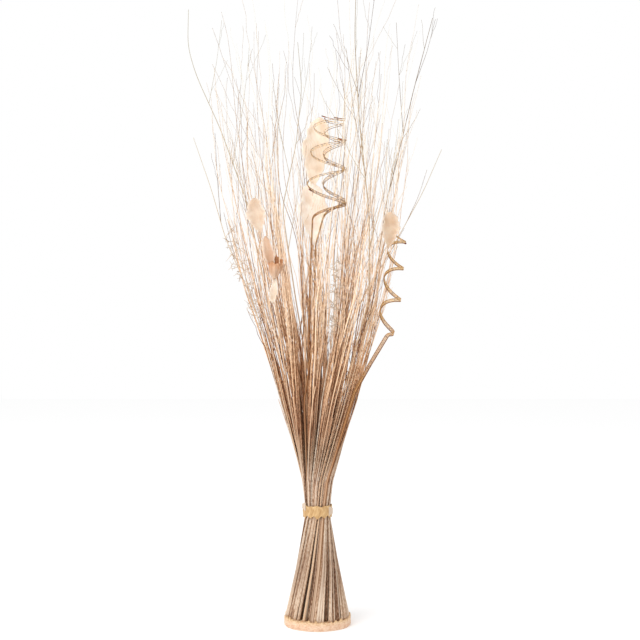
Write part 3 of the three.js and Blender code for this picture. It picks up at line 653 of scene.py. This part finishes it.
def papery(name, shades, stalk_colour, veins):
    """A thin dry sheet in soft blotches, of the shade that each blade's tone picks, darker along its veins
    and paler at its rim, on a stalk of its own colour."""
    made, shader, place = new_material(name, 0.75, 0.15)
    blotch = place.noise(55, 4).between(0.3, 0.7)
    across = attribute(place, "share")
    vein_run = (across * veins + place.noise(30, 1) * 3).sine()
    vein = (vein_run * 0.5 + 0.5) ** 6
    tint = (0.5 * (1 - blotch) + 0.6 * vein).mix(colour(255, 255, 255), colour(222, 198, 176))
    rim = (across * across).between(0.3, 1.1)
    skin = (0.45 * rim).mix(attribute(place, "tone").ramp(shades).times_colour(tint), colour(250, 240, 228))
    feed(shader, "Base Color", attribute(place, "leafy").mix(stalk_colour, skin))
    feed(shader, "Normal", place.bump(place.noise(260, 3) + 0.5 * vein, 0.4, 0.5 * MM))
    shader.inputs["Subsurface Weight"].default_value = 0.2
    shader.inputs["Subsurface Radius"].default_value = (0.004, 0.003, 0.002)
    return made


STALK_ROOM = 1.6 * MM
BEHIND = (0, 9, 0)
peach_shades = [
    (0.2, 252, 243, 232),
    (0.5, 238, 224, 206),
    (0.65, 222, 205, 187),
    (0.8, 228, 207, 184),
]
peach = papery("papery leaf", peach_shades, colour(206, 174, 144), 55)
# Each leaf's stalk keeps its slot up to a height, then rises to its blades and passes behind all but the
# last. A blade has its root and tip, its width, cup and wave, the way that it faces, and its tone.
LEAVES = {
    "papery_leaf_centre": dict(
        slot=(6.6, 180),
        kept_to=556,
        blades=[
            ((-6, -47, 648), (-10, -46, 752), 46, 7, 3, (0.2, -1, 0), 0.2),
            ((-8, -46, 738), (4, -52, 862), 45, 6, 4, (-0.1, -1, 0), 0.5),
        ],
    ),
    "papery_leaf_left": dict(
        slot=(19.4, 165),
        kept_to=620,
        blades=[((-93, -92, 662), (-104, -98, 722), 31, 6, 3, (-0.3, -1, 0), 0.65)],
    ),
    "papery_leaf_right": dict(
        slot=(19.1, -79),
        kept_to=600,
        blades=[((118, -56, 640), (122, -61, 702), 31, 7, 4, (0.3, -1, 0), 0.8)],
    ),
}
for name, one in LEAVES.items():
    blades = one["blades"]
    seats = []
    for root, tip, *_ in blades[:-1]:
        seats += [root, np.add(root, tip) / 2 + BEHIND]
    root, tip = np.array(blades[-1][0]), np.array(blades[-1][1])
    seats += [root, root + 0.08 * (tip - root)]
    path = standing_stem(one["slot"], one["kept_to"], seats, reach=8 * MM)
    obstacles.append(obstacle(path, STALK_ROOM))
    for root, tip, width, *_ in blades:
        midrib = MM * np.linspace(root, tip, 30)
        obstacles.append(obstacle(midrib, 0.53 * width * MM))
    parts = [stalk(path, (2.4, 1.4, 0.8)), *(blade(*shape) for shape in blades)]
    add_piece(name + "_blades", name, peach, parts)


# Curled husk: a brown husk that has dried into a bell round its stalk, with a narrow bract rising beside it
# and a cream blade hanging below.
husk_shades = [
    (0.0, 234, 222, 206),
    (0.6, 212, 182, 158),
    (0.8, 202, 158, 124),
    (1.0, 206, 152, 112),
]
husk_skin = papery("brown husk", husk_shades, colour(204, 172, 144), 30)
HUSK_SEAT = (-71, -95)
HUSK_BOTTOM, HUSK_HEIGHT = 590, 32
HUSK_THROAT, HUSK_FLARE = 1.2, 11
HUSK_THICKNESS = 0.7 * MM
s, a = np.meshgrid(np.linspace(0, 1, 16), np.linspace(0, 2 * np.pi, 72, endpoint=False), indexing="ij")
flare = HUSK_THROAT + HUSK_FLARE * np.sin(np.pi / 2 * s) ** 0.8
bell_radius = flare * (1 - 0.12 * s**2) * (1 + 0.05 * np.sin(9 * a + 5 * s) + 0.04 * s * np.sin(23 * a))
# The mouth is ragged, and tilts down towards the front.
ragged = 0.9 + 0.17 * np.sin(a) + 0.07 * np.sin(2 * a - 1.2) + 0.06 * np.sin(5 * a) + 0.03 * np.sin(17 * a)
bell = np.stack([
    HUSK_SEAT[0] + 3 * s + bell_radius * np.cos(a),
    HUSK_SEAT[1] + bell_radius * np.sin(a),
    HUSK_BOTTOM + HUSK_HEIGHT * s * ragged,
], axis=-1)
bell_points, bell_faces = thick_sheet(MM * bell, HUSK_THICKNESS, closed=True)
# Its outside is pale at the stalk and browns towards the mouth, and its inside is brown all over.
bell_tone = np.stack([0.4 + 0.45 * s, 0 * s + 1])
bell_values = {"tone": bell_tone, "share": 0.5 * np.sin(a), "leafy": 1.0}
husk_path = standing_stem((18.6, -180), 560, [(*HUSK_SEAT, 596)], reach=8 * MM)
bract = blade((*HUSK_SEAT, 592), (-86, -90, 660), 17, 3, 2, (0, -1, 0), 0.56, 26, 8)
low_blade = blade((-69, -93, 592), (-74, -99, 550), 13, 2, 1, (0, -1, 0), 0.0, 20, 8)
obstacles.append(obstacle(husk_path, STALK_ROOM))
# The room of the bell, the bract and the cream blade: from where to where, how many points, and its radius.
for start, end, count, room in (
    ((*HUSK_SEAT, HUSK_BOTTOM), (*HUSK_SEAT, 630), 12, 13),
    ((*HUSK_SEAT, HUSK_BOTTOM), (-84, -88, 668), 20, 7),
    ((-69, -93, 592), (-74, -99, 550), 12, 7),
):
    obstacles.append(obstacle(MM * np.linspace(start, end, count), room * MM))
husk_parts = [stalk(husk_path, (2.4, 1.4, 0.9)), (bell_points, bell_faces, bell_values), bract, low_blade]
add_piece("curled_husk_sheets", "curled_husk", husk_skin, husk_parts)


# Tall twigs: forked twigs that lean out of the spray on every side and give it its outline. Their bark is
# greyer than that of the other twigs, which is brown and darker in bands below and above the tie, where the
# stems lie packed, partly as painted shade between them, and pale towards the tips.
def bark_material(name, shades):
    """Bark whose colour follows the height, a shade lighter or darker from stem to stem, from stripe to
    stripe of one stem and along its grain. The stems differ most from one another just above the tie, where
    the darker ones paint the shade in the gaps of the packed core and the paler ones painted highlights."""
    made, shader, place = new_material(name, 0.7, 0.25)
    tone = attribute(place, "tone")
    grain = (attribute(place, "run") * 90).vector(tone * 50, 0.0).noise(1.0, 3)
    fleck = place.stretched(1, 1, 0.4).noise(520, 2)
    light = 0.6 * tone + 0.45 * attribute(place, "stripe") + 0.25 * grain + 0.7 * fleck
    height = place.axis(2)
    # Painted shade and highlight: above the tie the stems' tones spread wider, so the darker ones stand for
    # the shade in the packed core's gaps.
    apart = 1 + 0.5 * (height.between(0.28, 0.38) - height.between(0.5, 0.62))
    tint = (0.87 + (light - 1.02) * apart).ramp([
        (0.5, 122, 92, 72),
        (0.68, 200, 174, 152),
        (0.86, 246, 236, 224),
        (1.0, 255, 254, 250),
    ])
    feed(shader, "Base Color", height.ramp(shades).times_colour(tint))
    return made


# Its colour by height is darker just above the tie, partly painted shade where the stems lie packed.
weathered_bark_and_packed_shade = bark_material("weathered twig bark and painted shade", [
    (0.0, 206, 186, 168),
    (0.33, 196, 166, 140),
    (0.45, 214, 188, 160),
    (0.6, 212, 192, 168),
    (0.8, 198, 186, 166),
    (1.0, 178, 172, 158),
])


def barked(paths, radii, sides):
    """Stems with bark: each has a tone of its own, and each of its sides a lighter or darker stripe."""
    made, faces, values = tubes(paths, radii, sides, rng.random(len(paths)))
    stripes = rng.random((len(paths), 1, sides))
    return made, faces, {**values, "stripe": np.broadcast_to(stripes, made.shape[:-1])}


def shoots_on(path, radii, count, low, lengths, lean, points=8):
    """Forks of one stem: each leaves it between the share low of its length and its tip, follows it for a
    little and leans away by a slope of its own, nearly straight, with a slight bend. The lengths (m) go from
    the first to the second, most of them near the first."""
    at = (len(path) * (low + (0.97 - low) * rng.random(count))).astype(int).clip(1, len(path) - 2)
    base = path[at]
    along = path[at + 1] - path[at - 1]
    along /= np.linalg.norm(along, axis=1, keepdims=True)
    side = rng.normal(size=(count, 3)) * (1, 1, 0.1)
    side -= along * np.sum(side * along, axis=1, keepdims=True)
    side /= np.linalg.norm(side, axis=1, keepdims=True)
    length = lengths[0] + (lengths[1] - lengths[0]) * rng.random((count, 1, 1)) ** 1.5
    slope = lean * (0.4 + 1.2 * rng.random((count, 1, 1)))
    t = np.linspace(0, 1, points)[:, None]
    lines = base[:, None] + length * (along[:, None] * t + side[:, None] * slope * t**0.9)
    lines += length * np.array([0, 0, 0.06]) * t**2
    lines[:, 1:, :2] += 0.012 * length * rng.normal(size=(count, points - 1, 2))
    thin = np.maximum(radii[at][:, None] * 0.62 * (1 - 0.55 * t[:, 0]), 0.22 * MM)
    return lines, thin


# The stems form three sheaves, seen from the front. The gap to each side of the middle one, as rows of
# height, place to the right and half width, in mm.
SHEAF_GAPS = [
    [(440, -20, 0), (520, -29, 4), (600, -41, 6), (660, -46, 8), (800, -55, 8), (950, -60, 0)],
    [(480, 18, 0), (520, 23, 2), (600, 32, 3), (660, 38, 3), (760, 42, 0)],
]


def from_gap(points, gap):
    """How far points are to the right of the middle of a gap, as a share of its half width, and that half
    width."""
    heights, middle, half = MM * np.transpose(gap)
    width = np.interp(points[..., 2], heights, half) + 0.01 * MM
    return (points[..., 0] - np.interp(points[..., 2], heights, middle)) / width, width


def off_gaps(lines):
    """Which lines stay out of the gaps between the sheaves."""
    return np.all([np.abs(from_gap(lines, gap)[0]).min(axis=1) > 0.7 for gap in SHEAF_GAPS], axis=0)


def inside(lines):
    """Which lines stay within the spray: its outline at each height, and the box of the whole bundle."""
    limit = np.abs(spread(lines[..., 2])) * WAIST_RADIUS + 4 * MM
    within = np.hypot(lines[..., 0], lines[..., 1]) < limit
    boxed = (lines > np.array(cad_low) - 8 * MM) & (lines < np.array(cad_high) + 8 * MM)
    return (within & boxed.all(axis=2)).all(axis=1)


def clear(lines, room):
    """Which lines stay clear of the canes, tendrils, leaves and husk."""
    apart = np.linalg.norm(lines[:, :, None] - room[:, :3], axis=-1) - room[:, 3]
    return (apart > 1 * MM).all(axis=(1, 2))


TWIGLETS_ABOVE = 0.4


def twiglets(path, radii, shape):
    """The forks of one stem that start well above the tie and have room, as one part, or none."""
    lines, thin = shoots_on(path, radii, **shape)
    good = (lines[:, 0, 2] > TWIGLETS_ABOVE) & inside(lines) & off_gaps(lines) & clear(lines, shown_parts)
    return [barked(lines[good], thin[good], 4)] if good.any() else []


# The room of the canes, tendrils, leaves and husk.
shown_parts = np.concatenate(obstacles)[::2]
TALL_RADII = (2.7, 1.6, 0.45)
STEM_SIDES = 6
TWIGLETS_ON_TALL = dict(count=9, low=0.45, lengths=(0.05, 0.15), lean=0.4)
TWIGLETS_ON_FORK = dict(count=4, low=0.15, lengths=(0.03, 0.09), lean=0.4)
# Each keeps its slot up to a height, then goes through its points. A fork leaves it at a height, goes so far
# sideways, and rises so far.
TALL_TWIGS = {
    "tall_twig_left": dict(
        slot=(19.6, 91),
        kept_to=726,
        points=[(-172, 66, 860), (-215, 58, 955), (-229, 52, 1004), (-227, 48, 1068)],
        forks=[(640, (-34, -14), 170), (800, (30, -18), 190), (905, (22, 10), 150)],
    ),
    "tall_twig_far_left": dict(
        slot=(19.6, 121),
        kept_to=556,
        points=[(-158, 6, 660), (-182, 0, 745), (-213, -4, 835)],
        forks=[(590, (-36, 18), 120), (690, (-8, -26), 150)],
    ),
    "tall_twig_right": dict(
        slot=(17.6, -31),
        kept_to=726,
        points=[(143, 55, 815), (170, 56, 930), (203, 56, 1055)],
        forks=[(700, (28, 22), 180), (850, (-14, -28), 190), (940, (34, -12), 110)],
    ),
    "tall_twig_far_right": dict(
        slot=(19.6, -2),
        kept_to=556,
        points=[(128, 100, 640), (190, 104, 752), (224, 106, 830)],
        forks=[(600, (30, 26), 170), (700, (34, -22), 90)],
    ),
    "tall_twig_front": dict(
        slot=(19.6, -91),
        kept_to=556,
        points=[(84, -128, 690), (66, -172, 840), (58, -206, 960), (60, -221, 1040)],
        forks=[(640, (36, -24), 160), (760, (-30, -26), 190), (870, (26, -18), 160)],
    ),
    "tall_twig_back": dict(
        slot=(19.6, 60),
        kept_to=726,
        points=[(-40, 176, 850), (-30, 206, 960), (-38, 222, 1050)],
        forks=[(650, (24, 30), 180), (790, (-32, 22), 180), (900, (24, 16), 150)],
    ),
}
for name, one in TALL_TWIGS.items():
    path = standing_stem(one["slot"], one["kept_to"], one["points"], step=8 * MM, reach=32 * MM)
    thick = tapered(path, *TALL_RADII)
    obstacles.append(obstacle(path, thick))
    parts = [barked(path[None], thick[None], STEM_SIDES)]
    for at, (x, y), rise in one["forks"]:
        root = np.array([np.interp(at * MM, path[:, 2], side) for side in path.T])
        goal = root + MM * np.array([x, y, rise])
        middle = root + MM * np.array([0.6 * x, 0.6 * y, 0.5 * rise])
        fork = rounded([root, middle, goal], 12 * MM, 20 * MM)
        fork_radii = np.interp(at * MM, path[:, 2], thick) * np.linspace(0.72, 0.3, len(fork))
        parts.append(barked(fork[None], np.maximum(fork_radii, 0.3 * MM)[None], 5))
        parts += twiglets(fork, fork_radii, TWIGLETS_ON_FORK)
    parts += twiglets(path, thick, TWIGLETS_ON_TALL)
    add_piece(name + "_forks", name, weathered_bark_and_packed_shade, parts)


# The twig bunches: about five hundred dried stems, in nineteen bunches as they lie in the tie. Each stem is
# glued in at its foot and runs to its own height, and many of the longer ones bear fine shoots.
# Its colour by height is darker in bands just below and just above the tie, where the stems lie packed:
# partly painted shade between them, partly the bark's own browner colour.
bark_and_packed_shade = bark_material("dried twig bark and painted shade", [
    (0.0, 220, 200, 182),
    (0.045, 216, 197, 179),
    (0.08, 188, 166, 148),
    (0.115, 187, 165, 147),
    (0.16, 211, 192, 174),
    (0.25, 211, 188, 170),
    (0.29, 186, 160, 137),
    (0.34, 205, 165, 134),
    (0.38, 222, 184, 152),
    (0.42, 243, 207, 172),
    (0.47, 252, 221, 189),
    (0.52, 254, 228, 200),
    (0.6, 254, 229, 204),
    (0.75, 247, 229, 207),
    (0.9, 237, 227, 211),
    (1.0, 232, 228, 218),
])
# Strides that spread numbers evenly between 0 and 1, for a stem's length, its aim out and round, and its
# jitter.
STRIDE_LENGTH = 0.6180339887
STRIDE_OUT = 0.7548776662
STRIDE_ROUND = 0.5698402910
STRIDE_JITTER = 0.3819660113
# Bunches in each ring of the waist, and stems in each row of a bunch, from its inside out.
RING_COUNTS = [1, 6, 12]
ROW_COUNTS = [2, 3, 3]
MIDDLE_COUNTS = [1, 7]
# A stem's radius at each of the section's heights, the clear space round it at the waist, and its points.
STEM_RADII = MM * np.array([2.0, 1.75, 1.4, 1.4, 1.35, 1.15, 0.95, 0.75, 0.55])
STEM_MARGIN = 0.24 * MM
STEM_POINTS = 46
SHORTEST, TALLEST = 480, 1085
LOWEST_CUT = 0.3
# How far a stem goes from its own place towards its aim, and how often a place is tried.
DRIFT, EXTRA_DRIFT = 0.25, 0.55
TRIES, EXTRA_TRIES = 8, 6
TWIGLETS_ON_STEM = dict(count=4, low=0.5, lengths=(0.05, 0.24), lean=0.28)
# The extra stems of a bunch end above the tie, and reach so much higher at most.
EXTRA_LOW = 0.35
TALL_REACH, SHORT_REACH = 0.6, 0.08
SHORT_COUNT = 6
# The extra stems also leave open the room in front of the canes, tendrils, leaves and husk.
taken = np.concatenate(obstacles)[::2]
upper_parts = shown_parts[shown_parts[:, 2] > 0.5][::2]
in_front = np.concatenate([upper_parts - (0, step * MM, 0, 0) for step in (10, 20, 30, 40)])
taken_or_hiding = np.concatenate([taken, in_front])


def share_of(index, stride):
    """A number from 0 to 1 for each index, evenly spread because the stride is irrational."""
    return (0.5 + index * stride) % 1


def wander(z, amount):
    """Sideways steps of dry wood that bends a little at each knot: straight between knots 80 mm apart, and
    none at the tie."""
    knots = np.arange(0, 1.2, 0.08)
    steps = rng.normal(size=(2, len(knots)))
    size = amount * np.clip(np.abs(z - WAIST_Z) / 0.3, 0, 3)
    sideways = [np.interp(z + 0.03 * rng.random(), knots, row) * size for row in steps]
    return np.stack([*sideways, 0 * z], axis=-1)


def parted(path):
    """A path moved off the two gaps between the sheaves, by half·tanh(2.5u)·exp(-(u/2)²), where u is its
    distance from the middle of a gap as a share of the gap's half width."""
    path = path.copy()
    for gap in SHEAF_GAPS:
        off, width = from_gap(path, gap)
        path[:, 0] += width * np.tanh(2.5 * off) * np.exp(-((off / 2) ** 2))
    return path


def slot_line(cell, z, start, end, phase):
    """The points at heights z of a stem inside a cell (inner, outer, first bearing, sweep) of the waist: its
    shares of the way out and round, as a complex number, go from start to end, with a slow sway above the
    tie."""
    inner, outer, first, sweep = cell
    margin = (np.interp(z, HEIGHTS, STEM_RADII) + STEM_MARGIN) / np.abs(spread(z))
    sway = np.where(z > NECK_Z, 0.1, 0)
    here = start + (end - start) * (z - FOOT_Z) / (z[-1] - FOOT_Z)
    out = np.clip(here.real + sway * np.sin(z / 0.07 + phase), 0, 1)
    turned = np.clip(here.imag + sway * np.cos(z / 0.083 + 2 * phase), 0, 1)
    low = inner + margin if inner else 0 * margin
    radius = np.sqrt(low**2 + ((outer - margin) ** 2 - low**2) * out)
    side = margin / radius if inner else 0 * margin
    return carry(radius * np.exp(1j * (first + side + (sweep - 2 * side) * turned)), z)


def free_height(path, room):
    """The height at which a stem ends: 6 mm below the first point that comes too near to a thing in its
    way."""
    near = np.linalg.norm(path[:, None] - room[:, :3], axis=2) < room[:, 3] + 1.6 * MM
    blocked = near.any(axis=1)
    return path[np.argmax(blocked), 2] - 6 * MM if blocked.any() else path[-1, 2]


def grown(cell, start, end, wanted, phase, room):
    """A stem from the foot towards a wanted height, cut where it would meet something: its path and radii,
    or None if it would be cut too low."""
    z = np.linspace(FOOT_Z, wanted, 110)
    line = parted(slot_line(cell, z, start, end, phase))
    height = free_height(line, room)
    if height < LOWEST_CUT:
        return None
    z_kept = np.linspace(FOOT_Z, height, STEM_POINTS)
    path = np.stack([np.interp(z_kept, z, side) for side in line.T], axis=1)
    t = z_kept / height
    slim = np.interp(z_kept, [0, WAIST_Z, 0.4, 0.7, 1.1], [1.12, 0.94, 0.82, 0.67, 0.62])
    radii = np.interp(z_kept, HEIGHTS, STEM_RADII) * slim * (1 - 0.5 * t**3) * (0.85 + 0.3 * rng.random())
    path += wander(z_kept, 1.3 * MM)
    path[0, 2] -= SUNK
    return path, radii


cells = []
edges = WAIST_RADIUS * np.sqrt(np.cumsum([0] + RING_COUNTS) / sum(RING_COUNTS))
for count, inner, outer in zip(RING_COUNTS, edges, edges[1:]):
    sweep = 2 * np.pi / count
    cells += [(inner, outer, sweep * i, sweep) for i in range(count)]
for bunch, cell in enumerate(cells):
    rows = ROW_COUNTS if cell[0] else MIDDLE_COUNTS
    places = [(row, i, count) for row, count in enumerate(rows) for i in range(count)]
    stems = []
    for row, i, count in places:
        index = bunch * 9 + row * 3 + i
        jitter = (share_of(index, STRIDE_JITTER) - 0.5) * 0.16
        out = (row + 0.5) / len(rows) + jitter if cell[0] else row * 0.86
        turned = (i + 0.5 + jitter) / count
        aim = share_of(index, STRIDE_OUT) + 1j * share_of(index, STRIDE_ROUND)
        wanted = MM * (SHORTEST + (TALLEST - SHORTEST) * share_of(index, STRIDE_LENGTH) ** 1.2)
        for attempt in range(TRIES):
            turned = (turned + attempt * STRIDE_JITTER) % 1
            start = out + 1j * turned
            found = grown(cell, start, start + DRIFT * (aim - start), wanted, bunch, taken)
            if found is not None:
                stems.append(found)
                break
    # Four more stems stand side by side on the bunch's outside, five close behind them, five anywhere in it
    # and six short ones between the first and the second row. One whose place stays blocked is left out.
    starts = [1 + 1j * i / 3 for i in range(4)]
    starts += [0.8 + 1j * (i + 0.5) / 5 for i in range(5)]
    starts += [complex(*rng.random(2)) for _ in range(5)]
    starts += [0.91 + 1j * i / 5 for i in range(SHORT_COUNT)]
    for extra, start in enumerate(starts):
        reach = TALL_REACH if extra < len(starts) - SHORT_COUNT else SHORT_REACH
        for attempt in range(EXTRA_TRIES):
            aim = complex(*rng.random(2))
            wanted = EXTRA_LOW + reach * rng.random() ** 2.5
            end = start + EXTRA_DRIFT * (aim - start)
            found = grown(cell, start, end, wanted, bunch + 1.7 * extra, taken_or_hiding)
            if found is not None and off_gaps(found[0][None])[0]:
                stems.append(found)
                break
            start = start.real * 0.97 + 1j * ((start.imag + 0.09) % 1)
    paths = np.stack([path for path, _ in stems])
    radii = np.stack([thick for _, thick in stems])
    parts = [barked(paths, radii, STEM_SIDES)]
    for path, thick in stems:
        parts += twiglets(path, thick, TWIGLETS_ON_STEM)
    name = f"twig_bunch_{bunch + 1:02d}"
    add_piece(name + "_stems", name, bark_and_packed_shade, parts)


# The studio: a pale floor, soft light from all round and one broad soft light from the upper left. The
# camera is level, 2.1 m in front of the bundle's middle and about half as high as the bundle.
FLOOR_REACH = 6
FLOOR_COLOUR = (0.97, 0.97, 0.97, 1)
LAMP_PLACE = (-1.5, -1.8, 2.2)
LAMP_TILT, LAMP_BEARING = 50, -40
LAMP_SIZE = 2.4
LAMP_POWER = 45
CAMERA_PLACE = (0.0043, -2.1, 0.522)
CAMERA_LENS = 68.7
SENSOR_WIDTH = 36
corners = FLOOR_REACH * np.array([(-1, -1, 0), (1, -1, 0), (1, 1, 0), (-1, 1, 0)])
floor_mesh = bpy.data.meshes.new("floor")
floor_mesh.from_pydata(corners.tolist(), [], [(0, 1, 2, 3)])
floor = new_object("floor", floor_mesh)
pale, shader, _ = new_material("pale floor", 0.9, 0.0)
shader.inputs["Base Color"].default_value = FLOOR_COLOUR
floor_mesh.materials.append(pale)
world = bpy.data.worlds.new("studio")
world.use_nodes = True
background = world.node_tree.nodes["Background"].inputs
background["Color"].default_value = (1, 1, 1, 1)
background["Strength"].default_value = 1.0
bpy.context.scene.world = world
bpy.context.scene.view_settings.view_transform = "Standard"
lamp = bpy.data.lights.new("soft light", "AREA")
lamp.shape = "DISK"
lamp.size = LAMP_SIZE
lamp.energy = LAMP_POWER
lamp_object = new_object("soft light", lamp)
lamp_object.location = LAMP_PLACE
lamp_object.rotation_euler = (np.radians(LAMP_TILT), 0, np.radians(LAMP_BEARING))
camera = bpy.data.cameras.new("camera")
camera.lens = CAMERA_LENS
camera.sensor_width = SENSOR_WIDTH
camera_object = new_object("camera", camera)
camera_object.location = CAMERA_PLACE
camera_object.rotation_euler = (np.radians(90), 0, 0)
bpy.context.scene.camera = camera_object
